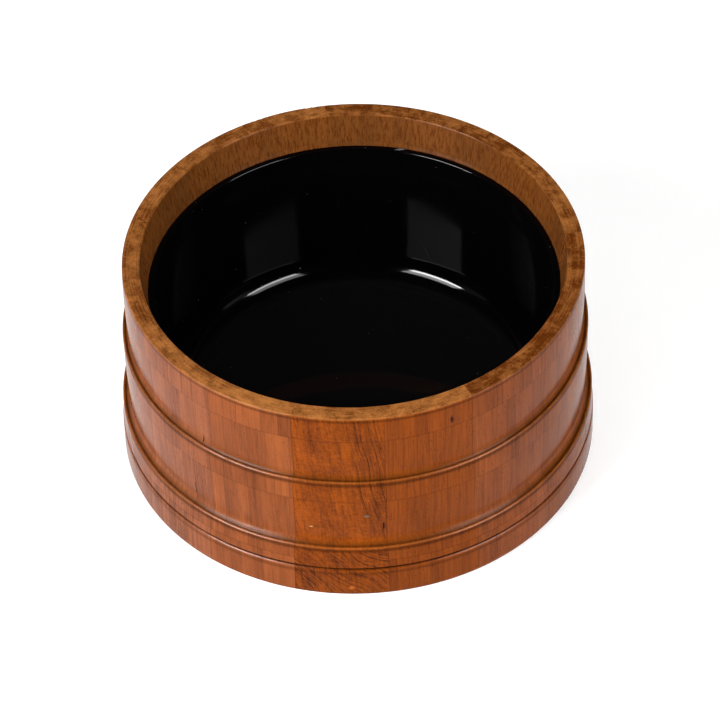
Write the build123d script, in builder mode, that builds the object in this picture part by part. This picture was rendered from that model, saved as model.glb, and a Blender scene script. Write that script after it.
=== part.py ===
"""Chip and dip server: a staved wooden tub, turned in three tiers, with a loose moulded liner bowl.

Sixteen mitred staves are glued into a ring around a bottom panel of edge-glued boards, and the ring
is turned inside and out. The liner stands by its rim on a ledge near the top and lifts straight out.

Frame: +Z is up and is the axis of the bowl, and the origin is on the table under its centre.
All sizes are in millimetres and all angles in degrees.
"""

import os
from math import cos, radians, sin, tan

from build123d import *

# Overall
tub_height = 138.0
rim_radius = 134.0

# Staves
stave_count = 16
first_joint_angle = -106.4  # the joint on the left of stave_01, counted from +X towards +Y

# Rim and the band between the rim and the liner
rim_width = 10.4
rim_outer_round = 0.9
rim_inner_round = 1.0
band_slope = 3.6  # how far the band leans in from the rim down to the top of the liner
liner_set_down = 21.0  # from the rim down to the top of the liner
rebate_depth = 14.0  # from the top of the liner down to the ledge that carries it
ledge_width = 2.0

# The three tiers and the foot band; the middle tier takes what height is left
upper_tier_height = 48.4
lower_tier_height = 16.8
foot_band_height = 21.8
wall_swell = 0.5  # how far the middle of a turned wall stands proud of its ends
upper_tier_taper = 0.8  # how far the wall leans in from the rim to the first ledge
middle_tier_taper = 1.5
lower_tier_spread = 0.5  # how far the wall spreads from the second ledge to the notch
foot_band_spread = 0.4

# Each ledge: the wall above sweeps out to a crease, and a round bead forms the lip
upper_ledge_width = 3.2
lower_ledge_width = 4.2
upper_sweep_height = 4.0
lower_sweep_height = 6.0
bead_radius = 1.3
bead_start_angle = 120.0  # the crease, on the inner side of the bead's top
bead_end_angle = -30.0  # where the bead has turned back in to the wall below

# The notch over the foot band, and the foot
notch_height = 0.9
notch_edge_round = 0.3
foot_top_round = 1.8  # also how deep the notch goes in from the foot band
foot_round = 3.0
foot_inner_chamfer = 1.0

# Bottom panel
board_count = 4
board_thickness = 12.0
panel_recess = 6.0  # from the table up to the underside of the panel
panel_groove_depth = 6.0
panel_play = 0.5  # room for the panel to move in its groove

# Liner
liner_wall = 2.6
liner_draft = 2.7  # lean of the wall from the vertical
liner_rim_wall = 3.5  # thickness of the upright rim that stands in the rebate
liner_rim_round = 0.4
liner_rim_play = 0.3  # from the rim of the liner to the rebate around it
liner_bore_play = 1.0  # from the wall to the staves just below the ledge
liner_shoulder_down = 10.5  # from the top of the liner down to the shoulder inside it
liner_shoulder_height = 6.0
liner_floor_gap = 2.5  # from the panel up to the underside of the liner
liner_floor_round = 14.1

# Worked out from the sizes above
stave_angle = 360 / stave_count
rim_inner_radius = rim_radius - rim_width
rebate_radius = rim_inner_radius - band_slope
bore_radius = rebate_radius - ledge_width
liner_top = tub_height - liner_set_down
ledge_top = liner_top - rebate_depth

upper_lip_top = tub_height - upper_tier_height
lower_lip_top = foot_band_height + lower_tier_height
upper_foot_radius = rim_radius - upper_tier_taper
middle_lip_radius = upper_foot_radius + upper_ledge_width
middle_foot_radius = middle_lip_radius - middle_tier_taper
lower_lip_radius = middle_foot_radius + lower_ledge_width
notch_radius = lower_lip_radius + lower_tier_spread
foot_radius = notch_radius + foot_band_spread
notch_top = foot_band_height + notch_height

panel_bottom = panel_recess
panel_top = panel_bottom + board_thickness
panel_groove_radius = bore_radius + panel_groove_depth
panel_radius = panel_groove_radius - panel_play
board_width = 2 * panel_radius / board_count

liner_underside = panel_top + liner_floor_gap
liner_floor = liner_underside + liner_wall
liner_rim_radius = rebate_radius - liner_rim_play
liner_rim_inside = liner_rim_radius - liner_rim_wall
shoulder_top = liner_top - liner_shoulder_down
shoulder_foot = shoulder_top - liner_shoulder_height


def liner_outside(height):
    """Radius of the outside of the liner's wall at a height."""
    return bore_radius - liner_bore_play - (ledge_top - height) * tan(radians(liner_draft))


def liner_inside(height):
    """Radius of the inside of the liner's wall at a height."""
    return liner_outside(height) - liner_wall / cos(radians(liner_draft))


def bead_point(lip_radius, lip_top, angle):
    """Point on the bead of a lip, at an angle counted up from straight out."""
    return (
        lip_radius - bead_radius + bead_radius * cos(radians(angle)),
        lip_top - bead_radius + bead_radius * sin(radians(angle)),
    )


def ledge(wall_radius, sweep_height, lip_radius, lip_top):
    """The sweep from a wall out to the crease, then the bead. Returns where the sweep starts."""
    crease = bead_point(lip_radius, lip_top, bead_start_angle)
    sweep_start = (wall_radius, crease[1] + sweep_height)
    TangentArc(sweep_start, crease, tangent=(0, -1))
    centre = (lip_radius - bead_radius, lip_top - bead_radius)
    CenterArc(centre, bead_radius, bead_start_angle, bead_end_angle - bead_start_angle)
    return sweep_start


def turned_wall(top, foot):
    """Outside of one tier, from its top down to its foot: an arc that swells out a little."""
    middle = ((top[0] + foot[0]) / 2 + wall_swell, (top[1] + foot[1]) / 2)
    ThreePointArc(top, middle, foot)


def outside_of_staves():
    """From the rim's outer edge, down the three tiers and the foot band, to the table."""
    CenterArc((rim_radius - rim_outer_round, tub_height - rim_outer_round), rim_outer_round, 90, -90)
    upper_foot = ledge(upper_foot_radius, upper_sweep_height, middle_lip_radius, upper_lip_top)
    turned_wall((rim_radius, tub_height - rim_outer_round), upper_foot)
    middle_foot = ledge(middle_foot_radius, lower_sweep_height, lower_lip_radius, lower_lip_top)
    turned_wall(bead_point(middle_lip_radius, upper_lip_top, bead_end_angle), middle_foot)
    Line(
        bead_point(lower_lip_radius, lower_lip_top, bead_end_angle),
        (notch_radius, notch_top + notch_edge_round),
    )
    CenterArc((notch_radius - notch_edge_round, notch_top + notch_edge_round), notch_edge_round, 0, -90)
    Polyline(
        (notch_radius - notch_edge_round, notch_top),
        (foot_radius - foot_top_round, notch_top),
        (foot_radius - foot_top_round, foot_band_height),
    )
    CenterArc((foot_radius - foot_top_round, foot_band_height - foot_top_round), foot_top_round, 90, -90)
    Line((foot_radius, foot_band_height - foot_top_round), (foot_radius, foot_round))
    CenterArc((foot_radius - foot_round, foot_round), foot_round, 0, -90)


def inside_of_staves():
    """From the table, up past the panel groove and the liner's ledge and rebate, to the rim's inner edge."""
    Polyline(
        (foot_radius - foot_round, 0),
        (bore_radius + foot_inner_chamfer, 0),
        (bore_radius, foot_inner_chamfer),
        (bore_radius, panel_bottom),
        (panel_groove_radius, panel_bottom),
        (panel_groove_radius, panel_top),
        (bore_radius, panel_top),
        (bore_radius, ledge_top),
        (rebate_radius, ledge_top),
        (rebate_radius, liner_top),
        (rim_inner_radius, tub_height - rim_inner_round),
    )
    RadiusArc(
        (rim_inner_radius, tub_height - rim_inner_round),
        (rim_inner_radius + rim_inner_round, tub_height),
        rim_inner_round,
    )
    Line((rim_inner_radius + rim_inner_round, tub_height), (rim_radius - rim_outer_round, tub_height))


os.makedirs("parts", exist_ok=True)

# Staves: one sector of the turned ring, repeated around the axis
with BuildPart() as stave_pattern:
    with BuildSketch(Plane.XZ):
        with BuildLine():
            outside_of_staves()
            inside_of_staves()
        make_face()
    revolve(axis=Axis.Z, revolution_arc=stave_angle)

for number in range(1, stave_count + 1):
    with BuildPart() as stave:
        add(stave_pattern.part, rotation=(0, 0, first_joint_angle + (number - 1) * stave_angle))
    stave.part.label = f"stave_{number:02d}"
    export_step(stave.part, f"parts/{stave.part.label}.step")

# Bottom panel: a disc of straight boards, glued edge to edge
for number in range(1, board_count + 1):
    board_middle = -panel_radius + (number - 0.5) * board_width
    with BuildPart() as board:
        with BuildSketch(Plane.XY.offset(panel_bottom)):
            Circle(panel_radius)
            with Locations((0, board_middle)):
                Rectangle(2 * panel_radius, board_width, mode=Mode.INTERSECT)
        extrude(amount=board_thickness)
    board.part.label = f"base_board_{number}"
    export_step(board.part, f"parts/{board.part.label}.step")

# Liner: an even wall with a rounded floor, and a soft shoulder below the upright rim
lean = (sin(radians(liner_draft)), cos(radians(liner_draft)))
foot_of_shoulder = (liner_inside(shoulder_foot), shoulder_foot)
top_of_shoulder = (liner_rim_inside - liner_shoulder_down * tan(radians(liner_draft)), shoulder_top)
middle_of_shoulder = (
    (foot_of_shoulder[0] + top_of_shoulder[0]) / 2,
    (foot_of_shoulder[1] + top_of_shoulder[1]) / 2,
)

with BuildPart() as liner:
    with BuildSketch(Plane.XZ):
        with BuildLine():
            Line((0, liner_underside), (0, liner_floor))
            FilletPolyline(
                (0, liner_floor),
                (liner_inside(liner_floor), liner_floor),
                foot_of_shoulder,
                radius=liner_floor_round,
            )
            TangentArc(foot_of_shoulder, middle_of_shoulder, tangent=lean)
            TangentArc(top_of_shoulder, middle_of_shoulder, tangent=(-lean[0], -lean[1]))
            FilletPolyline(
                top_of_shoulder,
                (liner_rim_inside, liner_top),
                (liner_rim_radius, liner_top),
                (liner_rim_radius, ledge_top),
                radius=liner_rim_round,
            )
            Line((liner_rim_radius, ledge_top), (liner_outside(ledge_top), ledge_top))
            FilletPolyline(
                (liner_outside(ledge_top), ledge_top),
                (liner_outside(liner_underside), liner_underside),
                (0, liner_underside),
                radius=liner_floor_round + liner_wall,
            )
        make_face()
    revolve(axis=Axis.Z)
liner.part.label = "liner"
export_step(liner.part, "parts/liner.step")
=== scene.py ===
"""Looks for the chip and dip server: a staved teak tub with a loose glossy black liner bowl."""

from math import cos, radians, sin, tan, tau

import bmesh
import bpy
from mathutils import Matrix, Vector

bl_info = {
    "name": "Chip and Dip Server",
    "version": (1, 0, 0),
    "blender": (4, 5, 0),
    "location": "3D View > Sidebar > Server",
    "description": "Finishes the staved tub and its liner bowl, and sets up the studio around them",
    "category": "Object",
}

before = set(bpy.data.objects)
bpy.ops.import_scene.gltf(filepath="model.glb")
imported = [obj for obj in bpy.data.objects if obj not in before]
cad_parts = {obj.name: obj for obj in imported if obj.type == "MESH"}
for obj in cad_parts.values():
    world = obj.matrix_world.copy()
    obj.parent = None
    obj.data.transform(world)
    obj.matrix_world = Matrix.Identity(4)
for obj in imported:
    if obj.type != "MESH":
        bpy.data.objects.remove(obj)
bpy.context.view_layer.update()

STAVE_COUNT = 16
STAVE_ANGLE = 360 / STAVE_COUNT
FIRST_STAVE_MIDDLE = -5.15  # degrees from the front, counted towards +X
BOARD_COUNT = 4

# Levels and radii on the bowl, in millimetres
RIM_TOP = 138.0
LINER_TOP = 117.0
LINER_FLOOR = 23.1
INNER_BAND_RADIUS = 124.0  # all of the band between the rim and the liner is inside this

# Places on the turned outside, as radius and height in millimetres
UPPER_CREASE = (134.6, 89.5)
LOWER_CREASE = (136.9, 38.5)
NOTCH = (138.5, 21.8)
UPPER_BEAD_FOOT = (136.3, 87.0)
LOWER_BEAD_FOOT = (139.1, 36.2)
FOOT_BAND_TOP = (139.9, 18.5)
RIM_EDGE_FOOT = (134.1, 135.6)
UPPER_BEAD = (136.0, 89.3)
LOWER_BEAD = (138.7, 38.3)
RIM_EDGE = (133.8, 137.8)

# Painted shade in the creases, the notch and under the beads and the rim edge, and the rubbed edges,
# which are paler and partly a painted highlight: the place, how far it reaches in millimetres, and how
# strong it is
PAINTED_SHADE_RINGS = (
    (UPPER_CREASE, 1.2, 0.50), (LOWER_CREASE, 1.3, 0.50), (NOTCH, 1.9, 0.97),
    (UPPER_BEAD_FOOT, 2.4, 0.60), (LOWER_BEAD_FOOT, 2.4, 0.60), (FOOT_BAND_TOP, 2.0, 0.40),
    (RIM_EDGE_FOOT, 1.5, 0.50),
)
RUBBED_AND_HIGHLIT_EDGES = ((UPPER_BEAD, 0.7, 0.35), (LOWER_BEAD, 0.8, 0.40), (RIM_EDGE, 0.7, 0.35))
RESIDUE_AND_SHADE_RISE = 0.8  # old oil, together with painted shade, lies this far above each crease
RESIDUE_AND_SHADE_REACH = 3.2
RESIDUE_AND_SHADE_STRENGTH = 0.5

# Heights of the faint level lines where the strips of tone change, in millimetres
COURSE_LINES = (28.0, 73.5, 120.0)


# ---------------------------------------------------------------------------
# Settings
# ---------------------------------------------------------------------------

class TubSettings(bpy.types.PropertyGroup):
    light_wood: bpy.props.FloatVectorProperty(
        name="Light Wood", description="Colour of the pale early wood", subtype="COLOR",
        size=3, min=0, max=1, default=(0.212, 0.046, 0.0030))
    dark_wood: bpy.props.FloatVectorProperty(
        name="Dark Wood", description="Colour of the dense late wood", subtype="COLOR",
        size=3, min=0, max=1, default=(0.080, 0.0150, 0.0012))
    # Besides the worn rim, this colour also paints the thin highlight along the beads and the rim edge
    worn_and_highlit_wood: bpy.props.FloatVectorProperty(
        name="Worn and Highlit Wood", description="Colour of the rubbed rim and beads", subtype="COLOR",
        size=3, min=0, max=1, default=(0.400, 0.155, 0.038))
    inner_wood: bpy.props.FloatVectorProperty(
        name="Inner Wood", description="Colour that the band inside the rim leans towards",
        subtype="COLOR", size=3, min=0, max=1, default=(0.125, 0.066, 0.020))
    rim_shade: bpy.props.FloatVectorProperty(
        name="Rim Shade", description="Colour of the dark patches on top of the rim", subtype="COLOR",
        size=3, min=0, max=1, default=(0.080, 0.018, 0.0025))
    # Old oil above the ledges, and with it painted shade in the sweep above each crease
    residue_and_shade: bpy.props.FloatVectorProperty(
        name="Residue and Shade", description="Colour of the old oil that gathers above the ledges",
        subtype="COLOR", size=3, min=0, max=1, default=(0.075, 0.026, 0.0050))
    # The pore colour is also the colour of the painted shade in the creases, the notch and under the
    # beads
    pore_and_shade_colour: bpy.props.FloatVectorProperty(
        name="Pores", description="Colour inside the open pores and cracks", subtype="COLOR",
        size=3, min=0, max=1, default=(0.016, 0.0045, 0.0018))
    strip_width: bpy.props.FloatProperty(
        name="Strip Width", description="Width of the strips of tone in a stave, in millimetres",
        default=7.5, min=1, max=40)
    roughness: bpy.props.FloatProperty(
        name="Roughness", description="Roughness of the oiled surface", subtype="FACTOR",
        default=0.46, min=0, max=1)
    grain_depth: bpy.props.FloatProperty(
        name="Grain Depth", description="How deep the pores and grain stand in the surface",
        unit="LENGTH", default=0.00025, min=0, max=0.002, precision=5)


class LinerSettings(bpy.types.PropertyGroup):
    colour: bpy.props.FloatVectorProperty(
        name="Colour", description="Colour of the moulded plastic", subtype="COLOR",
        size=3, min=0, max=1, default=(0.0009, 0.0009, 0.0011))
    roughness: bpy.props.FloatProperty(
        name="Roughness", description="Roughness of the polished plastic", subtype="FACTOR",
        default=0.05, min=0, max=1)
    dust: bpy.props.FloatProperty(
        name="Dust", description="How strongly dust and lint show", subtype="FACTOR",
        default=0.5, min=0, max=1)


class StudioSettings(bpy.types.PropertyGroup):
    left_power: bpy.props.FloatProperty(
        name="Left Softbox", description="Power of the softbox on the left", unit="POWER",
        default=41, min=0)
    right_power: bpy.props.FloatProperty(
        name="Right Softbox", description="Power of the softbox on the right", unit="POWER",
        default=22, min=0)
    back_power: bpy.props.FloatProperty(
        name="Back Fill", description="Power of the dim light behind", unit="POWER",
        default=7, min=0)
    top_power: bpy.props.FloatProperty(
        name="Top Fill", description="Power of the dim light overhead", unit="POWER",
        default=9, min=0)
    camera_elevation: bpy.props.FloatProperty(
        name="Camera Elevation", description="Angle of the camera above the table", unit="ROTATION",
        default=radians(44.317))
    camera_distance: bpy.props.FloatProperty(
        name="Camera Distance", description="Distance from the camera to its target", unit="LENGTH",
        default=2.68, min=0.1)
    camera_roll: bpy.props.FloatProperty(
        name="Camera Roll", description="Turn of the camera about its line of sight", unit="ROTATION",
        default=radians(-1.8733))
    lens: bpy.props.FloatProperty(
        name="Lens", description="Focal length on a 36 mm wide sensor", unit="CAMERA",
        default=226.67, min=1)
    floor_glow: bpy.props.FloatProperty(
        name="Floor Glow", description="How far the floor is lifted to white for the camera",
        default=0.54, min=0)
    floor_shine: bpy.props.FloatProperty(
        name="Floor Shine", description="How bright the floor is in reflections",
        default=0.75, min=0)


# ---------------------------------------------------------------------------
# Building node trees
# ---------------------------------------------------------------------------

class Tree:
    """Adds nodes to a node tree. A value may be a number, a tuple or another node's output."""

    def __init__(self, tree):
        self.tree = tree

    def add(self, kind, inputs=None, **settings):
        node = self.tree.nodes.new(kind)
        for name, value in settings.items():
            setattr(node, name, value)
        for name, value in (inputs or {}).items():
            self.feed(node.inputs[name], value)
        return node

    def feed(self, socket, value):
        if isinstance(value, bpy.types.NodeSocket):
            self.tree.links.new(value, socket)
        else:
            socket.default_value = value

    def math(self, operation, *values, clamp=False):
        node = self.add("ShaderNodeMath", operation=operation, use_clamp=clamp)
        for socket, value in zip(node.inputs, values):
            self.feed(socket, value)
        return node.outputs[0]

    def vector(self, operation, *values):
        node = self.add("ShaderNodeVectorMath", operation=operation)
        for socket, value in zip(node.inputs, values):
            self.feed(socket, value)
        return node.outputs["Value" if operation in ("LENGTH", "DISTANCE") else "Vector"]

    def mix(self, factor, first, second, blend="MIX"):
        node = self.add("ShaderNodeMix", data_type="RGBA", blend_type=blend)
        self.feed(node.inputs["Factor"], factor)
        self.feed(node.inputs["A"], first)
        self.feed(node.inputs["B"], second)
        return node.outputs["Result"]

    def remap(self, value, low, high, to_low=0.0, to_high=1.0, smooth=False):
        node = self.add("ShaderNodeMapRange", interpolation_type="SMOOTHSTEP" if smooth else "LINEAR")
        for socket, setting in zip(node.inputs, (value, low, high, to_low, to_high)):
            self.feed(socket, setting)
        return node.outputs["Result"]

    def in_millimetres(self, place, turn=0.0, axis=2):
        """Object coordinates in millimetres, after a turn about X, Y or Z."""
        rotation = [turn if number == axis else 0.0 for number in range(3)]
        return self.add("ShaderNodeMapping", {
            "Vector": place, "Rotation": rotation, "Scale": (1000, 1000, 1000)}).outputs["Vector"]

    def split(self, vector):
        return self.add("ShaderNodeSeparateXYZ", {"Vector": vector}).outputs

    def join(self, x, y, z):
        return self.add("ShaderNodeCombineXYZ", {"X": x, "Y": y, "Z": z}).outputs["Vector"]

    def noise(self, vector, scale=1.0, detail=2.0, roughness=0.5, distortion=0.0):
        node = self.add("ShaderNodeTexNoise", {
            "Vector": vector, "Scale": scale, "Detail": detail,
            "Roughness": roughness, "Distortion": distortion})
        return node.outputs["Fac"]

    def group(self, group, inputs):
        return self.add("ShaderNodeGroup", inputs, node_tree=group).outputs


def emptied(owner):
    """The node tree of a new material or world, with nothing in it."""
    owner.use_nodes = True
    owner.node_tree.nodes.clear()
    return Tree(owner.node_tree)


KINDS = {"value": "NodeSocketFloat", "colour": "NodeSocketColor", "vector": "NodeSocketVector"}


def shared_group(name, inputs, outputs, build):
    """A node group, built when it is first asked for. Its sockets are {name: (kind, default)}."""
    group = bpy.data.node_groups.get(name)
    if group:
        return group
    group = bpy.data.node_groups.new(name, "ShaderNodeTree")
    for direction, sockets in (("INPUT", inputs), ("OUTPUT", outputs)):
        for socket_name, (kind, default) in sockets.items():
            socket = group.interface.new_socket(socket_name, in_out=direction, socket_type=KINDS[kind])
            if direction == "INPUT" and default is not None:
                socket.default_value = default
    tree = Tree(group)
    source = tree.add("NodeGroupInput").outputs
    results = build(tree, source)
    sink = tree.add("NodeGroupOutput")
    for socket_name, value in results.items():
        tree.feed(sink.inputs[socket_name], value)
    return group


# ---------------------------------------------------------------------------
# Shared effects
# ---------------------------------------------------------------------------

def teak_group():
    """Wood with its grain along Z, in millimetres: X runs across the stave and Y into it."""

    def build(tree, source):
        x, y, z = tree.split(source["Vector"])
        seed = source["Seed"]

        # The strips of tone in a stave change at the course lines
        course = 0.0
        line = 0.0
        for height in COURSE_LINES:
            course = tree.math("ADD", course, tree.math("GREATER_THAN", z, height))
            near = tree.math("ABSOLUTE", tree.math("SUBTRACT", z, height))
            line = tree.math("MAXIMUM", line, tree.remap(near, 0.15, 0.75, 1.0, 0.0))
        wander = tree.noise(tree.join(0.0, seed, tree.math("MULTIPLY", z, 0.04)), 1.0, 1.0)
        across = tree.math("ADD", x, tree.math("MULTIPLY", wander, 1.2))
        place = tree.math("DIVIDE", across, source["Strip Width"])
        place = tree.math("MULTIPLY_ADD", course, 17.3, place)
        place = tree.math("MULTIPLY_ADD", seed, 7.1, place)
        cell = tree.add("ShaderNodeTexVoronoi", {"W": place, "Scale": 1.0},
                        voronoi_dimensions="1D", feature="F1")
        strip = tree.split(cell.outputs["Color"])
        seam = tree.add("ShaderNodeTexVoronoi", {"W": place, "Scale": 1.0},
                        voronoi_dimensions="1D", feature="DISTANCE_TO_EDGE").outputs["Distance"]
        seam = tree.remap(seam, 0.015, 0.05, 1.0, 0.0)

        # Grain streaks, different in each strip
        leaning = tree.math("MULTIPLY_ADD", z, source["Lean"], x)
        shift = tree.math("MULTIPLY", strip[1], 40.0)
        streak_at = tree.join(
            tree.math("ADD", leaning, shift),
            tree.math("MULTIPLY", y, 0.8),
            tree.math("MULTIPLY_ADD", z, 0.035, tree.math("MULTIPLY", seed, 5.0)))
        streaks = tree.noise(streak_at, 0.75, 6.0, 0.72, 0.3)
        streaks = tree.remap(streaks, 0.32, 0.68)
        broad_at = tree.join(
            tree.math("MULTIPLY", leaning, 0.07),
            tree.math("MULTIPLY", y, 0.05),
            tree.math("MULTIPLY_ADD", z, 0.012, tree.math("MULTIPLY", seed, 3.0)))
        broad = tree.remap(tree.noise(broad_at, 1.0, 2.0), 0.3, 0.7)

        # Growth rings seen on the face, as thin dark lines that lean and wander
        bend_at = tree.join(
            tree.math("MULTIPLY", x, 0.05), tree.math("MULTIPLY", y, 0.05),
            tree.math("MULTIPLY_ADD", z, 0.016, seed))
        bend = tree.noise(bend_at, 1.0, 3.0, 0.5)
        ring_at = tree.math("DIVIDE", leaning, source["Ring Spacing"])
        ring_at = tree.math("MULTIPLY_ADD", bend, source["Ring Wander"], ring_at)
        ring_wave = tree.math("SINE", tree.math("MULTIPLY", ring_at, tau))
        rings = tree.math("POWER", tree.remap(ring_wave, -1.0, 1.0), 5.0)
        ring_break = tree.noise(tree.join(leaning, y, tree.math("MULTIPLY", z, 0.12)), 0.5, 3.0)
        rings = tree.math("MULTIPLY", rings, tree.remap(ring_break, 0.35, 0.62))

        # Short diagonal ripples
        ripple_at = tree.join(
            tree.math("MULTIPLY_ADD", z, 0.85, tree.math("MULTIPLY", x, 0.6)),
            tree.math("MULTIPLY_ADD", z, 0.25, tree.math("MULTIPLY", x, -0.35)), seed)
        fine_ripples = tree.noise(ripple_at, 0.9, 4.0, 0.65, 0.8)
        blotch_at = tree.join(tree.math("MULTIPLY", x, 0.10), tree.math("MULTIPLY", z, 0.07), seed)
        blotches = tree.noise(blotch_at, 1.0, 3.0, 0.6)
        ripples = tree.remap(tree.math("MULTIPLY_ADD", blotches, 0.9, fine_ripples), 0.72, 1.15)

        # Open pores: short dark dashes along the grain
        pore_at = tree.join(
            tree.math("MULTIPLY", leaning, 1.6), tree.math("MULTIPLY", y, 1.6),
            tree.math("MULTIPLY_ADD", z, 0.26, seed))
        pore = tree.add("ShaderNodeTexVoronoi", {"Vector": pore_at, "Scale": 1.0},
                        voronoi_dimensions="3D", feature="F1")
        keep = tree.math("GREATER_THAN", tree.split(pore.outputs["Color"])[0], 0.55)
        pores = tree.math("MULTIPLY", tree.remap(pore.outputs["Distance"], 0.10, 0.36, 0.8, 0.0), keep)
        patch_at = tree.join(tree.math("MULTIPLY", x, 0.11), y, tree.math("MULTIPLY", z, 0.03))
        patch = tree.remap(tree.noise(patch_at, 1.0, 2.0), 0.35, 0.6)
        pores = tree.math("MULTIPLY", pores, tree.math("MULTIPLY_ADD", patch, 0.7, 0.3))

        # All of it darkens the wood along one scale of tone, and the pores lie on top
        tone = tree.math("MULTIPLY_ADD", tree.math("SUBTRACT", strip[0], 0.5), source["Strips"], 0.38)
        tone = tree.math("MULTIPLY_ADD", tree.math("SUBTRACT", streaks, 0.5), source["Streaks"], tone)
        tone = tree.math("MULTIPLY_ADD", tree.math("SUBTRACT", broad, 0.5), 0.30, tone)
        tone = tree.math("MULTIPLY_ADD", tree.math("SUBTRACT", ripples, 0.5), source["Ripples"], tone)
        tone = tree.math("MULTIPLY_ADD", rings, source["Rings"], tone)
        tone = tree.math("MULTIPLY_ADD", line, 0.22, tone)
        tone = tree.math("MULTIPLY_ADD", seam, 0.16, tone, clamp=True)
        colour = tree.mix(tone, source["Light"], source["Dark"])
        dark_pores = tree.math("MULTIPLY", pores, source["Pores"], clamp=True)
        colour = tree.mix(dark_pores, colour, source["Pore Color"])

        # Pores and late wood lie lower, and open pores are duller
        height = tree.math("MULTIPLY_ADD", streaks, 0.35, 0.6)
        height = tree.math("SUBTRACT", height, tree.math("MULTIPLY", pores, 0.6))
        height = tree.math("SUBTRACT", height, tree.math("MULTIPLY", line, 0.25))
        height = tree.math("SUBTRACT", height, tree.math("MULTIPLY", rings, 0.2))
        rough = tree.math("MULTIPLY_ADD", streaks, -0.10, tree.math("ADD", source["Roughness"], 0.05))
        rough = tree.math("MULTIPLY_ADD", pores, 0.25, rough, clamp=True)
        return {"Color": colour, "Roughness": rough, "Height": height}

    return shared_group("Teak", {
        "Vector": ("vector", None), "Seed": ("value", 0.0),
        "Light": ("colour", None), "Dark": ("colour", None), "Pore Color": ("colour", None),
        "Roughness": ("value", 0.45), "Strip Width": ("value", 7.5), "Strips": ("value", 0.3),
        "Streaks": ("value", 0.4), "Lean": ("value", 0.0), "Ring Spacing": ("value", 4.0),
        "Ring Wander": ("value", 2.0), "Rings": ("value", 0.3), "Ripples": ("value", 0.0),
        "Pores": ("value", 0.6),
    }, {"Color": ("colour", None), "Roughness": ("value", None), "Height": ("value", None)}, build)


def figure_lines_group():
    """A band of dark slanting lines, as where a stave cuts through growth rings."""

    def build(tree, source):
        x, y, z = tree.split(source["Vector"])
        wander_at = tree.join(tree.math("MULTIPLY", x, 0.04), 0.0, tree.math("MULTIPLY", z, 0.03))
        wander = tree.math("SUBTRACT", tree.noise(wander_at, 1.0, 0.6), 0.5)
        slanted = tree.math("MULTIPLY_ADD", z, source["Lean"], x)
        slanted = tree.math("MULTIPLY_ADD", wander, source["Wander"], slanted)

        # Noise drawn out along the grain gives broad lines, with hair lines between them
        spaced = tree.math("DIVIDE", slanted, source["Spacing"])
        along = tree.math("MULTIPLY", z, 0.010)
        lines = tree.remap(tree.noise(tree.join(spaced, along, 0.0), 1.9, 0.8, 0.5), 0.49, 0.64)
        hair = tree.noise(tree.join(spaced, along, 3.7), 4.5, 1.0, 0.6)
        lines = tree.math("MAXIMUM", lines, tree.remap(hair, 0.54, 0.68, 0.0, 0.7))
        lines = tree.math("MULTIPLY_ADD", lines, 0.85, 0.15)
        break_at = tree.join(x, y, tree.math("MULTIPLY", z, 0.25))
        broken = tree.remap(tree.noise(break_at, 0.5, 2.0), 0.3, 0.6, 0.45, 1.0)
        mask = tree.math("MULTIPLY", lines, broken)

        # The band fades out at both sides and at both ends
        for value, low, high, fade in (
                (slanted, source["From"], source["To"], 3.0), (z, source["Bottom"], source["Top"], 4.0)):
            rise = tree.remap(value, low, tree.math("ADD", low, fade))
            fall = tree.remap(value, tree.math("SUBTRACT", high, fade), high, 1.0, 0.0)
            mask = tree.math("MULTIPLY", mask, tree.math("MULTIPLY", rise, fall))
        return {"Mask": mask}

    return shared_group("Figure Lines", {
        "Vector": ("vector", None), "Lean": ("value", 0.0), "Wander": ("value", 4.0),
        "Spacing": ("value", 2.5), "From": ("value", -30.0), "To": ("value", 30.0),
        "Bottom": ("value", -10.0), "Top": ("value", 150.0)},
        {"Mask": ("value", None)}, build)


def ring_mask_group():
    """A mask that follows a circle turned about Z: 1 on the circle, 0 at Reach from it. It places the
    painted shade, the old oil and the rubbed, highlit edges.
    """

    def build(tree, source):
        x, y, z = tree.split(source["Vector"])
        radius = tree.vector("LENGTH", tree.join(x, y, 0.0))
        here = tree.join(radius, z, 0.0)
        circle = tree.join(source["Radius"], source["Height"], 0.0)
        distance = tree.vector("DISTANCE", here, circle)
        uneven = tree.noise(tree.join(x, y, tree.math("MULTIPLY", z, 0.3)), 0.35, 3.0)
        reach = tree.math("MULTIPLY", source["Reach"], tree.math("MULTIPLY_ADD", uneven, 0.8, 0.6))
        return {"Mask": tree.remap(distance, 0.0, reach, 1.0, 0.0, smooth=True)}

    return shared_group("Ring Stain", {
        "Vector": ("vector", None), "Radius": ("value", 100.0), "Height": ("value", 0.0),
        "Reach": ("value", 2.0)}, {"Mask": ("value", None)}, build)


def joint_line_group():
    """The glue line along both edges of a stave whose middle is on -Y."""

    def build(tree, source):
        x, y, z = tree.split(source["Vector"])
        slope = tan(radians(STAVE_ANGLE / 2))
        edge = tree.math("MULTIPLY", tree.math("ABSOLUTE", y), slope)
        gap = tree.math("ABSOLUTE", tree.math("SUBTRACT", tree.math("ABSOLUTE", x), edge))
        patchy = tree.noise(tree.join(x, y, tree.math("MULTIPLY", z, 0.08)), 0.6, 3.0)
        width = tree.math("MULTIPLY", source["Width"], tree.remap(patchy, 0.3, 0.7, 0.4, 1.4))
        return {"Mask": tree.remap(gap, 0.0, width, 1.0, 0.0)}

    return shared_group("Joint Line", {"Vector": ("vector", None), "Width": ("value", 0.5)},
                        {"Mask": ("value", None)}, build)


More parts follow.
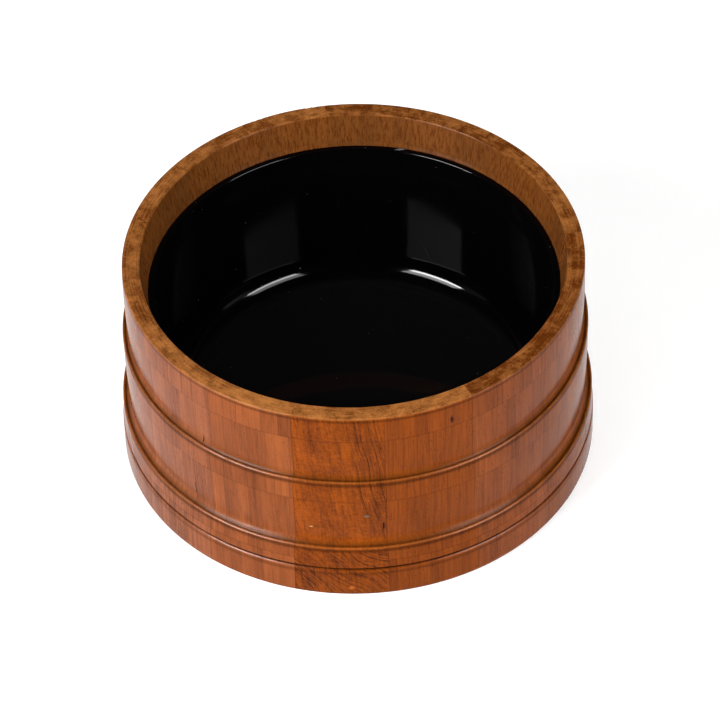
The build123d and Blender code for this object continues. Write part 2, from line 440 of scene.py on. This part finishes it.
def mark_group():
    """One small mark, such as a knot, a chip or a crack: an uneven ellipsoid around Place."""

    def build(tree, source):
        offset = tree.vector("SUBTRACT", source["Vector"], source["Place"])
        offset = tree.vector("DIVIDE", offset, source["Size"])
        ragged = tree.math("MULTIPLY", tree.noise(source["Vector"], 0.9, 3.0, 0.6), 0.9)
        distance = tree.math("ADD", tree.vector("LENGTH", offset), ragged)
        return {"Mask": tree.remap(distance, 0.95, 1.4, 1.0, 0.0)}

    return shared_group("Mark", {
        "Vector": ("vector", None), "Place": ("vector", None), "Size": ("vector", (1.0, 1.0, 1.0))},
        {"Mask": ("value", None)}, build)


def fine_marks_group():
    """Fine scratches and specks of dust on a polished surface, in millimetres."""

    def build(tree, source):
        scratches = 0.0
        directions = ((0.35, 5.0, 0.09), (1.25, 4.0, 0.06), (2.3, 6.0, 0.11))
        for number, (turn, across, along) in enumerate(directions):
            mapped = tree.add("ShaderNodeVectorRotate", {
                "Vector": source["Vector"], "Axis": (0.2 * number, 0.3, 1.0), "Angle": turn},
                rotation_type="AXIS_ANGLE").outputs["Vector"]
            u, v, w = tree.split(mapped)
            streak_at = tree.join(
                tree.math("MULTIPLY", u, across), tree.math("MULTIPLY", v, along),
                tree.math("MULTIPLY", w, along))
            streak = tree.noise(streak_at, 0.35, 1.0, 0.5)
            scratches = tree.math("MAXIMUM", scratches, tree.remap(streak, 0.76, 0.84))
        specks = tree.add("ShaderNodeTexVoronoi", {"Vector": source["Vector"], "Scale": 0.16},
                          voronoi_dimensions="3D", feature="F1")
        chance = tree.math("GREATER_THAN", tree.split(specks.outputs["Color"])[1], 0.55)
        size = tree.math("MULTIPLY_ADD", tree.split(specks.outputs["Color"])[2], 0.05, 0.02)
        dust = tree.math("MULTIPLY", tree.math("LESS_THAN", specks.outputs["Distance"], size), chance)
        film = tree.remap(tree.noise(source["Vector"], 0.03, 4.0, 0.6), 0.35, 0.75)
        return {"Scratches": scratches, "Dust": dust, "Film": film}

    return shared_group("Fine Marks", {"Vector": ("vector", None)}, {
        "Scratches": ("value", None), "Dust": ("value", None), "Film": ("value", None)}, build)


# ---------------------------------------------------------------------------
# Materials
# ---------------------------------------------------------------------------

def new_material(name):
    """An empty material with its Principled shader, and its coordinates."""
    material = bpy.data.materials.new(name)
    tree = emptied(material)
    shader = tree.add("ShaderNodeBsdfPrincipled")
    output = tree.add("ShaderNodeOutputMaterial")
    tree.tree.links.new(shader.outputs["BSDF"], output.inputs["Surface"])
    place = tree.add("ShaderNodeTexCoord").outputs["Object"]
    return material, tree, shader, place


# How each stave looks, from the one at the front counted towards +X. The tint is a factor on the wood
# colours, and the rest are inputs of the Teak group. On the side staves (2, 3, 4 and 14, 15, 16) the
# raised green and blue of the tint is partly painted sheen, the pale grazing reflection along them.
STAVES = (
    dict(tint=(1.18, 1.13, 0.80),
         Seed=1.3, Lean=0.12, Rings=0.20, Ripples=0.68, Streaks=0.45, Strips=0.20, Pores=0.60),
    dict(tint=(1.04, 1.02, 1.20),
         Seed=2.7, Lean=0.00, Rings=0.12, Streaks=0.55, Strips=0.30, Pores=0.85),
    # Staves 3 and 4: the raised blue and green in their tints is partly painted sheen
    dict(tint=(1.20, 1.35, 3.80),
         Seed=3.9, Lean=0.02, Rings=0.10, Streaks=0.50, Strips=0.34, Pores=0.95),
    dict(tint=(1.02, 1.08, 1.60),
         Seed=4.4, Lean=-0.01, Rings=0.15, Streaks=0.50, Strips=0.30, Pores=0.80),
    dict(tint=(1.02, 1.05, 1.10),
         Seed=5.8, Lean=0.03, Rings=0.25, Streaks=0.45, Strips=0.26, Pores=0.70),
    dict(tint=(0.90, 0.88, 0.95),
         Seed=6.1, Lean=-0.05, Rings=0.30, Streaks=0.50, Strips=0.30, Pores=0.75),
    dict(tint=(1.04, 1.08, 1.15),
         Seed=7.6, Lean=0.01, Rings=0.12, Streaks=0.50, Strips=0.28, Pores=0.70),
    dict(tint=(0.96, 0.96, 1.00),
         Seed=8.2, Lean=0.06, Rings=0.22, Streaks=0.45, Strips=0.32, Pores=0.80),
    dict(tint=(0.86, 0.84, 0.90),
         Seed=9.5, Lean=-0.02, Rings=0.18, Streaks=0.55, Strips=0.26, Pores=0.85),
    dict(tint=(1.00, 1.02, 1.05),
         Seed=10.9, Lean=0.00, Rings=0.10, Streaks=0.50, Strips=0.34, Pores=0.70),
    dict(tint=(1.05, 1.10, 1.20),
         Seed=11.4, Lean=0.04, Rings=0.28, Streaks=0.40, Strips=0.24, Pores=0.65),
    dict(tint=(0.90, 0.92, 1.00),
         Seed=12.8, Lean=-0.03, Rings=0.14, Streaks=0.55, Strips=0.30, Pores=0.85),
    dict(tint=(0.98, 1.00, 1.10),
         Seed=13.3, Lean=0.02, Rings=0.20, Streaks=0.45, Strips=0.30, Pores=0.75),
    # Staves 14 to 16: the raised blue and green in their tints is mostly painted sheen
    dict(tint=(1.04, 1.30, 5.50),
         Seed=14.7, Lean=-0.01, Rings=0.12, Streaks=0.50, Strips=0.32, Pores=0.75),
    dict(tint=(1.14, 1.55, 8.00),
         Seed=15.2, Lean=0.00, Rings=0.14, Streaks=0.60, Strips=0.40, Pores=0.90),
    dict(tint=(1.20, 1.48, 5.50),
         Seed=16.6, Lean=0.01, Rings=0.08, Streaks=0.50, Strips=0.48, Pores=0.60),
)


# Bands of dark lines on single staves, in millimetres, and how strongly they show
FIGURES = {
    1: ((dict(Lean=0.17, Wander=6.0, Spacing=2.1, From=24.0, To=47.0, Bottom=42.0), 0.66),
        (dict(Lean=0.17, Wander=6.0, Spacing=7.0, From=-2.0, To=26.0, Bottom=60.0), 0.35),
        (dict(Lean=1.1, Wander=40.0, Spacing=3.2, From=-40.0, To=85.0, Top=38.5), 0.75)),
    3: ((dict(Lean=0.02, Wander=5.0, Spacing=3.5, From=2.0, To=22.0, Bottom=36.0), 0.30),),
    6: ((dict(Lean=0.22, Wander=6.0, Spacing=3.0, From=-10.0, To=26.0), 0.5),),
    9: ((dict(Lean=-0.15, Wander=6.0, Spacing=2.8, From=-24.0, To=6.0), 0.5),),
    12: ((dict(Lean=0.08, Wander=8.0, Spacing=3.6, From=-16.0, To=20.0), 0.35),),
    15: ((dict(Lean=0.01, Wander=4.0, Spacing=4.0, From=-12.0, To=4.0), 0.22),),
    16: ((dict(Lean=-0.03, Wander=7.0, Spacing=9.0, From=-9.0, To=4.0, Bottom=40.0, Top=88.0), 0.35),),
}

# How much paler or darker the top of the rim is on single staves
RIM_PALENESS = {
    1: 0.18, 2: 0.12, 3: -0.20, 4: -0.30, 5: -0.24, 7: -0.12, 8: -0.15, 9: -0.14, 15: 0.03, 16: 0.18,
}

# Small marks on single staves, in millimetres from the stave's own middle: place, size and colour
CRACK = (0.010, 0.003, 0.002)
KNOT = (0.040, 0.008, 0.004)
CHIP = (0.10, 0.085, 0.06)
PALE_FLECK = (0.32, 0.17, 0.06)
RED_FLECK = (0.34, 0.08, 0.012)
MARKS = {
    1: (((24.5, -134.0, 52.5), (0.7, 6.0, 4.5), CRACK),
        ((15.0, -134.5, 62.0), (2.0, 6.0, 1.2), CHIP),
        ((-17.0, -134.5, 51.5), (1.4, 6.0, 0.9), PALE_FLECK),
        ((5.6, -139.8, 7.0), (2.2, 6.0, 1.8), RED_FLECK)),
    2: (((13.2, -133.5, 125.5), (1.5, 6.0, 3.4), KNOT),),
    15: (((13.0, -134.0, 49.0), (0.45, 6.0, 7.0), CRACK),
         ((20.0, -133.5, 92.5), (0.6, 6.0, 4.0), CRACK)),
}


def opaque(colour):
    return (*colour, 1.0)


def tinted(colour, tint):
    return opaque(min(1.0, part * factor) for part, factor in zip(colour, tint))


def around_ring(tree, whole, place, reach):
    """The mask of a ring at a place on the turned outside."""
    radius, height = place
    return tree.group(ring_mask_group(), {
        "Vector": whole, "Radius": radius, "Height": height, "Reach": reach})["Mask"]


def worn_and_highlit_edges(tree, whole, colour, seed, rim_paleness, settings):
    """The top of the rim is golden end grain, and the beads and the rim edge are rubbed paler here and
    there, which also paints a thin highlight along them.
    """
    x, y, height = tree.split(whole)
    radius = tree.vector("LENGTH", tree.join(x, y, 0.0))
    flecks = tree.noise(tree.vector("ADD", whole, (seed, 0.0, 0.0)), 1.1, 4.0, 0.75)
    flecks = tree.remap(flecks, 0.30, 0.70)
    patches = tree.noise(tree.vector("ADD", whole, (0.0, seed, 0.0)), 0.11, 3.0, 0.65)
    patches = tree.remap(patches, 0.38, 0.62)
    arc_at = tree.join(tree.math("MULTIPLY", radius, 1.2), tree.math("MULTIPLY", x, 0.12), seed)
    arcs = tree.remap(tree.noise(arc_at, 1.0, 3.0, 0.6), 0.40, 0.62)
    pale = tree.math("MULTIPLY_ADD", patches, 0.55, tree.math("MULTIPLY", flecks, 0.55))
    pale = tree.math("SUBTRACT", pale, tree.math("MULTIPLY", arcs, 0.30))
    pale = tree.math("ADD", pale, rim_paleness, clamp=True)
    end_grain = tree.mix(pale, opaque(settings.rim_shade), opaque(settings.worn_and_highlit_wood))

    # The band between the rim and the liner is duller, with fine dark grain
    inside = tree.math("MULTIPLY",
                       tree.remap(radius, INNER_BAND_RADIUS + 0.5, INNER_BAND_RADIUS - 0.5),
                       tree.remap(height, LINER_TOP - 17.0, LINER_TOP))
    colour = tree.mix(tree.math("MULTIPLY", inside, 0.40), colour, opaque(settings.inner_wood))
    grain = tree.noise(tree.vector("MULTIPLY", whole, (0.75, 0.75, 0.05)), 1.0, 4.0, 0.7)
    grain = tree.math("MULTIPLY", tree.remap(grain, 0.46, 0.60), tree.math("MULTIPLY", inside, 0.8))
    colour = tree.mix(grain, colour, opaque(settings.rim_shade))

    top = tree.remap(height, RIM_TOP - 1.0, RIM_TOP - 0.1)
    colour = tree.mix(tree.math("MULTIPLY", top, 0.92), colour, end_grain)
    # Pale lines along the bead tops and the rim edge: rubbed wear, and a painted highlight
    for place, reach, amount in RUBBED_AND_HIGHLIT_EDGES:
        mask = around_ring(tree, whole, place, reach)
        rubbed_and_highlit = tree.math("MULTIPLY", mask, tree.math("MULTIPLY", flecks, amount))
        colour = tree.mix(rubbed_and_highlit, colour, opaque(settings.worn_and_highlit_wood))
    return colour


def stave_material(number, settings):
    """Oiled teak for one stave, with the wear and stains of the turned profile."""
    looks = dict(STAVES[number - 1])
    tint = looks.pop("tint")
    middle = FIRST_STAVE_MIDDLE + (number - 1) * STAVE_ANGLE
    material, tree, shader, place = new_material(f"teak_stave_{number:02d}")
    whole = tree.in_millimetres(place)
    across = tree.in_millimetres(place, -radians(middle))
    # The pore colour also paints the shade in the creases and under the beads, and the figure and joint
    # lines
    dark = opaque(settings.pore_and_shade_colour)
    teak = tree.group(teak_group(), {
        "Vector": across, "Light": tinted(settings.light_wood, tint),
        "Dark": tinted(settings.dark_wood, tint), "Pore Color": dark,
        "Roughness": settings.roughness, "Strip Width": settings.strip_width, **looks})
    colour = teak["Color"]

    # Painted shade: dark rings in the creases, the notch and under the beads and the rim edge, in the
    # pore colour
    painted_shade_and_joints = 0.0
    for spot, reach, amount in PAINTED_SHADE_RINGS:
        mask = around_ring(tree, whole, spot, reach)
        painted_shade_and_joints = tree.math("MAXIMUM", painted_shade_and_joints, tree.math("MULTIPLY", mask, amount))
    # Old oil and painted shade darken the concave sweep above each crease
    residue_and_shade = 0.0
    for radius, height in (UPPER_CREASE, LOWER_CREASE):
        mask = around_ring(tree, whole, (radius, height + RESIDUE_AND_SHADE_RISE), RESIDUE_AND_SHADE_REACH)
        residue_and_shade = tree.math("MAXIMUM", residue_and_shade, mask)
    colour = tree.mix(tree.math("MULTIPLY", residue_and_shade, RESIDUE_AND_SHADE_STRENGTH), colour, opaque(settings.residue_and_shade))
    for lines, amount in FIGURES.get(number, ()):
        mask = tree.group(figure_lines_group(), {"Vector": across, **lines})["Mask"]
        colour = tree.mix(tree.math("MULTIPLY", mask, amount), colour, dark)
    # The joint lines are real glue lines, darkened together with the painted shade
    joint = tree.group(joint_line_group(), {"Vector": across, "Width": 0.4})["Mask"]
    painted_shade_and_joints = tree.math("MAXIMUM", painted_shade_and_joints, tree.math("MULTIPLY", joint, 0.42))
    colour = tree.mix(painted_shade_and_joints, colour, dark)
    rim_paleness = RIM_PALENESS.get(number, 0.0)
    colour = worn_and_highlit_edges(tree, whole, colour, looks["Seed"] * 9.0, rim_paleness, settings)
    for spot, size, mark_colour in MARKS.get(number, ()):
        mask = tree.group(mark_group(), {"Vector": across, "Place": spot, "Size": size})["Mask"]
        colour = tree.mix(mask, colour, opaque(mark_colour))

    tree.feed(shader.inputs["Base Color"], colour)
    tree.feed(shader.inputs["Roughness"], teak["Roughness"])
    height = tree.math("SUBTRACT", teak["Height"], tree.math("MULTIPLY", joint, 0.5))
    bump = tree.add("ShaderNodeBump", {
        "Height": height, "Strength": 0.6, "Distance": settings.grain_depth})
    tree.feed(shader.inputs["Normal"], bump.outputs["Normal"])

    # The oil film gives all the gloss. It is gone where the shade is painted, from the joint lines and
    # the old oil, and from the end grain
    shader.inputs["Specular IOR Level"].default_value = 0.0
    end_grain = tree.remap(tree.split(whole)[2], RIM_TOP - 1.0, RIM_TOP - 0.2, 0.0, 0.93)
    dulled = tree.math("MAXIMUM", painted_shade_and_joints, tree.math("MULTIPLY", residue_and_shade, 0.85))
    dulled = tree.math("MAXIMUM", dulled, end_grain)
    tree.feed(shader.inputs["Coat Weight"], tree.math("SUBTRACT", 1.0, dulled, clamp=True))
    shader.inputs["Coat IOR"].default_value = 1.14
    shader.inputs["Coat Roughness"].default_value = 0.25
    return material


def board_material(number, settings):
    """Plainer teak for a board of the bottom panel, with its grain along X."""
    material, tree, shader, place = new_material(f"teak_board_{number}")
    x, y, z = tree.split(tree.in_millimetres(place, -radians(90), axis=1))
    teak = tree.group(teak_group(), {
        "Vector": tree.join(y, x, z), "Seed": 20.0 + number * 1.7,
        "Light": tinted(settings.light_wood, (0.95, 1.05, 1.2)),
        "Dark": tinted(settings.dark_wood, (1.0, 1.1, 1.3)),
        "Pore Color": opaque(settings.pore_and_shade_colour), "Roughness": min(1, settings.roughness + 0.12),
        "Strip Width": 60.0, "Strips": 0.15, "Streaks": 0.45,
        "Ring Spacing": 7.0, "Rings": 0.35, "Pores": 0.8})
    tree.feed(shader.inputs["Base Color"], teak["Color"])
    tree.feed(shader.inputs["Roughness"], teak["Roughness"])
    bump = tree.add("ShaderNodeBump", {
        "Height": teak["Height"], "Strength": 0.6, "Distance": settings.grain_depth})
    tree.feed(shader.inputs["Normal"], bump.outputs["Normal"])
    shader.inputs["Specular IOR Level"].default_value = 0.12
    return material


# What lies on the liner: lint and scratches, the film on its floor, and a scuff on its edge
LINT = (0.10, 0.10, 0.10)
FILM = (0.12, 0.12, 0.12)
SCUFF = (0.16, 0.16, 0.17)
SCUFF_PLACE = (30.0, 114.6, 117.0)
SCUFF_SIZE = (4.0, 0.9, 1.2)


def liner_material(settings):
    """Glossy black moulded plastic with fine scratches, a faint film and a little dust."""
    material, tree, shader, place = new_material("glossy_black_plastic")
    whole = tree.in_millimetres(place)
    marks = tree.group(fine_marks_group(), {"Vector": whole})
    dust = tree.math("MULTIPLY", marks["Dust"], settings.dust)
    colour = tree.mix(dust, opaque(settings.colour), opaque(LINT))
    colour = tree.mix(tree.math("MULTIPLY", marks["Scratches"], 0.04), colour, opaque(LINT))
    scuff = tree.group(mark_group(), {"Vector": whole, "Place": SCUFF_PLACE, "Size": SCUFF_SIZE})
    colour = tree.mix(scuff["Mask"], colour, opaque(SCUFF))
    settled = tree.remap(tree.split(whole)[2], LINER_FLOOR + 0.1, LINER_FLOOR + 1.4, 1.0, 0.0)
    colour = tree.mix(tree.math("MULTIPLY", settled, 0.025), colour, opaque(FILM))
    tree.feed(shader.inputs["Base Color"], colour)
    rough = tree.math("MULTIPLY_ADD", marks["Film"], 0.05, settings.roughness)
    rough = tree.math("MULTIPLY_ADD", marks["Scratches"], 0.15, rough)
    rough = tree.math("MULTIPLY_ADD", dust, 0.5, rough, clamp=True)
    tree.feed(shader.inputs["Roughness"], rough)
    waves = tree.noise(whole, 0.02, 2.0)
    height = tree.math("SUBTRACT", waves, tree.math("MULTIPLY", marks["Scratches"], 0.02))
    bump = tree.add("ShaderNodeBump", {"Height": height, "Strength": 0.5, "Distance": 0.0003})
    tree.feed(shader.inputs["Normal"], bump.outputs["Normal"])
    shader.inputs["Specular IOR Level"].default_value = 0.1
    return material


def dress(node, material):
    """Gives a CAD node its finish, through its material slots."""
    for material_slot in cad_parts[node].material_slots:
        material_slot.material = material


# ---------------------------------------------------------------------------
# Operators
# ---------------------------------------------------------------------------

class SERVER_OT_staves(bpy.types.Operator):
    """Give each stave its own piece of oiled teak"""
    bl_idname = "server.finish_staves"
    bl_label = "Finish Staves"

    def execute(self, context):
        for number in range(1, STAVE_COUNT + 1):
            dress(f"stave_{number:02d}", stave_material(number, context.scene.server_tub))
        return {"FINISHED"}


class SERVER_OT_boards(bpy.types.Operator):
    """Give the boards of the bottom panel a plain teak finish"""
    bl_idname = "server.finish_boards"
    bl_label = "Finish Base Boards"

    def execute(self, context):
        for number in range(1, BOARD_COUNT + 1):
            dress(f"base_board_{number}", board_material(number, context.scene.server_tub))
        return {"FINISHED"}


class SERVER_OT_liner(bpy.types.Operator):
    """Give the liner bowl its glossy black finish"""
    bl_idname = "server.finish_liner"
    bl_label = "Finish Liner"

    def execute(self, context):
        dress("liner", liner_material(context.scene.server_liner))
        return {"FINISHED"}


def aimed(position, target, roll=0.0):
    """A matrix that looks along -Z from position to target, turned by roll about the line of sight."""
    forward = (target - position).normalized()
    right = forward.cross(Vector((0, 0, 1))).normalized()
    up = right.cross(forward)
    side = right * cos(roll) + up * sin(roll)
    top = up * cos(roll) - right * sin(roll)
    matrix = Matrix((side, top, -forward)).transposed().to_4x4()
    matrix.translation = position
    return matrix


def around(azimuth, elevation, distance):
    """A point at an azimuth from the front towards +X, and an elevation above the table."""
    level = cos(elevation) * distance
    return Vector((sin(azimuth) * level, -cos(azimuth) * level, sin(elevation) * distance))


# The middle of the view and of the light, in metres
CAMERA_TARGET = Vector((0.00196, 0, 0.05365))
LIGHT_TARGET = Vector((0, 0, 0.05))

# Each part of a softbox: how much of its height it takes, and how far up its middle is.
# The light falls on the wood, and the glints, just in front of it, show only in reflections.
SOFTBOX_PARTS = {"light": (1.0, 0.0), "glint_low": (0.73, -0.135), "glint_high": (0.27, 0.365)}
GLINT_GAP = 0.02


def add_softbox(name, azimuth, elevation, distance, size, power, glints=(0.0, 0.0)):
    """A soft area light aimed at the bowl. glints say how bright its two parts look in reflections."""
    strengths = dict(zip(SOFTBOX_PARTS, (1.0, *glints)))
    for part, (share, shift) in SOFTBOX_PARTS.items():
        if strengths[part] == 0:
            continue
        lights = part == "light"
        light = bpy.data.lights.new(f"{name}_{part}", "AREA")
        light.shape = "RECTANGLE"
        light.size, light.size_y = size[0], size[1] * share
        light.energy = power * strengths[part] * share
        light.cycles.use_multiple_importance_sampling = not lights
        softbox = bpy.data.objects.new(f"{name}_{part}", light)
        bpy.context.scene.collection.objects.link(softbox)
        gap = 0 if lights else GLINT_GAP
        place = around(radians(azimuth), radians(elevation), distance - gap)
        upward = Matrix.Translation((0, shift * size[1], 0))
        softbox.matrix_world = aimed(place, LIGHT_TARGET) @ upward
        softbox.visible_glossy = not lights
        softbox.visible_diffuse = lights


def floor_material(glow, shine):
    """A pale floor that is lifted to white for the camera and in reflections."""
    material = bpy.data.materials.new("studio_floor")
    tree = emptied(material)
    matt = tree.add("ShaderNodeBsdfDiffuse", {"Color": (0.62, 0.62, 0.62, 1)})
    ray = tree.add("ShaderNodeLightPath").outputs
    lift = tree.math("MULTIPLY", ray["Is Camera Ray"], glow)
    lift = tree.math("MULTIPLY_ADD", ray["Is Glossy Ray"], shine, lift)
    lift = tree.add("ShaderNodeEmission", {"Strength": lift})
    both = tree.add("ShaderNodeAddShader")
    tree.tree.links.new(matt.outputs["BSDF"], both.inputs[0])
    tree.tree.links.new(lift.outputs["Emission"], both.inputs[1])
    output = tree.add("ShaderNodeOutputMaterial")
    tree.tree.links.new(both.outputs["Shader"], output.inputs["Surface"])
    return material


def studio_world():
    """White behind the floor for the camera, and nearly dark for light and reflections."""
    world = bpy.data.worlds.new("studio_world")
    tree = emptied(world)
    seen = tree.add("ShaderNodeLightPath").outputs["Is Camera Ray"]
    strength = tree.remap(seen, 0.0, 1.0, 0.02, 1.0)
    background = tree.add("ShaderNodeBackground", {"Color": (1, 1, 1, 1), "Strength": strength})
    output = tree.add("ShaderNodeOutputWorld")
    tree.tree.links.new(background.outputs["Background"], output.inputs["Surface"])
    return world


class SERVER_OT_studio(bpy.types.Operator):
    """Add the floor, the softboxes and the camera"""
    bl_idname = "server.set_up_studio"
    bl_label = "Set Up Studio"

    def execute(self, context):
        settings = context.scene.server_studio
        mesh = bpy.data.meshes.new("floor")
        shape = bmesh.new()
        bmesh.ops.create_grid(shape, x_segments=1, y_segments=1, size=6)
        shape.to_mesh(mesh)
        shape.free()
        mesh.materials.append(floor_material(settings.floor_glow, settings.floor_shine))
        floor = bpy.data.objects.new("floor", mesh)
        context.scene.collection.objects.link(floor)

        add_softbox("softbox_left", -51.5, 26, 1.6, (0.8, 1.3), settings.left_power, (10.0, 2.4))
        add_softbox("softbox_right", 51.5, 26, 1.6, (0.8, 1.3), settings.right_power, (8.0, 2.2))
        add_softbox("back_fill", 180, 40, 1.8, (1.6, 0.8), settings.back_power)
        add_softbox("top_fill", 0, 80, 1.8, (1.4, 1.4), settings.top_power)

        camera_data = bpy.data.cameras.new("camera")
        camera_data.lens = settings.lens
        camera_data.sensor_width = 36
        camera = bpy.data.objects.new("camera", camera_data)
        context.scene.collection.objects.link(camera)
        position = CAMERA_TARGET + around(0, settings.camera_elevation, settings.camera_distance)
        camera.matrix_world = aimed(position, CAMERA_TARGET, settings.camera_roll)
        context.scene.camera = camera

        context.scene.world = studio_world()
        context.scene.view_settings.view_transform = "Standard"
        return {"FINISHED"}


class SERVER_PT_panel(bpy.types.Panel):
    """The server's finishes and studio"""
    bl_idname = "SERVER_PT_panel"
    bl_label = "Chip and Dip Server"
    bl_space_type = "VIEW_3D"
    bl_region_type = "UI"
    bl_category = "Server"

    def draw(self, context):
        scene = context.scene
        for settings, operators in (
                (scene.server_tub, (SERVER_OT_staves, SERVER_OT_boards)),
                (scene.server_liner, (SERVER_OT_liner,)),
                (scene.server_studio, (SERVER_OT_studio,))):
            box = self.layout.box()
            for name in settings.__annotations__:
                box.prop(settings, name)
            for operator in operators:
                box.operator(operator.bl_idname)


CLASSES = (
    TubSettings, LinerSettings, StudioSettings,
    SERVER_OT_staves, SERVER_OT_boards, SERVER_OT_liner, SERVER_OT_studio, SERVER_PT_panel,
)


def register():
    for cls in CLASSES:
        bpy.utils.register_class(cls)
    bpy.types.Scene.server_tub = bpy.props.PointerProperty(type=TubSettings)
    bpy.types.Scene.server_liner = bpy.props.PointerProperty(type=LinerSettings)
    bpy.types.Scene.server_studio = bpy.props.PointerProperty(type=StudioSettings)


def unregister():
    del bpy.types.Scene.server_studio
    del bpy.types.Scene.server_liner
    del bpy.types.Scene.server_tub
    for cls in reversed(CLASSES):
        bpy.utils.unregister_class(cls)


def main():
    register()
    bpy.ops.server.finish_staves()
    bpy.ops.server.finish_boards()
    bpy.ops.server.finish_liner()
    bpy.ops.server.set_up_studio()


if __name__ == "__main__":
    main()
